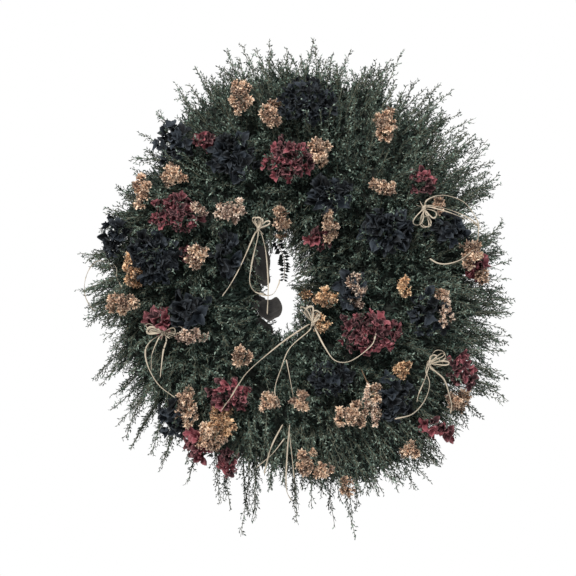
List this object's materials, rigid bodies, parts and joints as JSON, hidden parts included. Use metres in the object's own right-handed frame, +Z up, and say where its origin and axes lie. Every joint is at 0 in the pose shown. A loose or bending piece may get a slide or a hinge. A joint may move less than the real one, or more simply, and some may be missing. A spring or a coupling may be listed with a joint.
{
  "type": "door wreath",
  "caption": "Full harvest door wreath of dark evergreen sprigs with burgundy and navy dried hydrangeas, peach statice and raffia bows, on a raised wire frame with a wire hanger.",
  "frame": {"origin": "on the door's face, where the nail that carries the hanger goes in; the nail's top line is at z = 0", "axes": "+Z up, -Y out of the front of the wreath, +X to the viewer's right; the door's face is the plane y = 0"},
  "size_m": [0.4883, 0.1362, 0.5718],
  "materials": {
    "evergreen": "dull dark green leaf",
    "burgundy_petal": "dry papery petal",
    "navy_petal": "dry papery petal",
    "peach_statice": "dry papery floret",
    "raffia": "natural fibre, satin",
    "green_wire": "green paint, satin",
    "dark_wire": "dark annealed wire"
  },
  "bodies": {
    "wreath": {"evergreen_bunch_01": "evergreen", "evergreen_bunch_02": "evergreen", "evergreen_bunch_03": "evergreen", "evergreen_bunch_04": "evergreen", "evergreen_bunch_05": "evergreen", "evergreen_bunch_06": "evergreen", "evergreen_bunch_07": "evergreen", "evergreen_bunch_08": "evergreen", "evergreen_bunch_09": "evergreen", "evergreen_bunch_10": "evergreen", "frame_ring_inner": "green_wire", "frame_ring_inner_raised": "green_wire", "frame_ring_outer_raised": "green_wire", "frame_ring_outer": "green_wire", "frame_cross_wire_1": "green_wire", "frame_cross_wire_2": "green_wire", "frame_cross_wire_3": "green_wire", "frame_cross_wire_4": "green_wire", "burgundy_hydrangea_top": "burgundy_petal", "burgundy_hydrangea_left": "burgundy_petal", "burgundy_hydrangea_right": "burgundy_petal", "burgundy_hydrangea_upper_right": "burgundy_petal", "burgundy_hydrangea_lower_right": "burgundy_petal", "burgundy_hydrangea_bottom": "burgundy_petal", "navy_hydrangea_top": "navy_petal", "navy_hydrangea_upper_left": "navy_petal", "navy_hydrangea_upper_right": "navy_petal", "navy_hydrangea_right": "navy_petal", "navy_hydrangea_lower_right": "navy_petal", "navy_hydrangea_bottom": "navy_petal", "navy_hydrangea_left": "navy_petal", "statice_spray_top_left": "peach_statice", "statice_spray_top_right": "peach_statice", "statice_spray_left_edge": "peach_statice", "statice_spray_lower_left": "peach_statice", "statice_spray_bottom_left": "peach_statice", "statice_spray_bottom": "peach_statice", "statice_spray_bottom_right": "peach_statice", "statice_spray_right_edge": "peach_statice", "raffia_bow_top": "raffia", "raffia_bow_right": "raffia", "raffia_bow_left": "raffia", "raffia_bow_centre": "raffia", "raffia_bow_lower_right": "raffia", "raffia_tail_top_left": "raffia", "raffia_tail_top_middle": "raffia", "raffia_tail_top_right": "raffia", "raffia_tail_right": "raffia", "raffia_tail_left_long": "raffia", "raffia_tail_left_short": "raffia", "raffia_tail_centre_long": "raffia", "raffia_tail_centre_short": "raffia", "raffia_tail_centre_arc": "raffia", "raffia_tail_lower_right_long": "raffia", "raffia_tail_lower_right_short": "raffia", "raffia_tail_bottom_left": "raffia", "raffia_tail_bottom_right": "raffia", "paddle_wire": "dark_wire"},
    "hanger": {"wire_hanger": "dark_wire"}
  },
  "joints": [
    {"name": "hanger_swing", "type": "hinge", "parent": "wreath", "child": "hanger", "pos_m": [0, -0.0049, -0.043], "axis": [1, 0, 0], "range_deg": [-170, 8]}
  ]
}
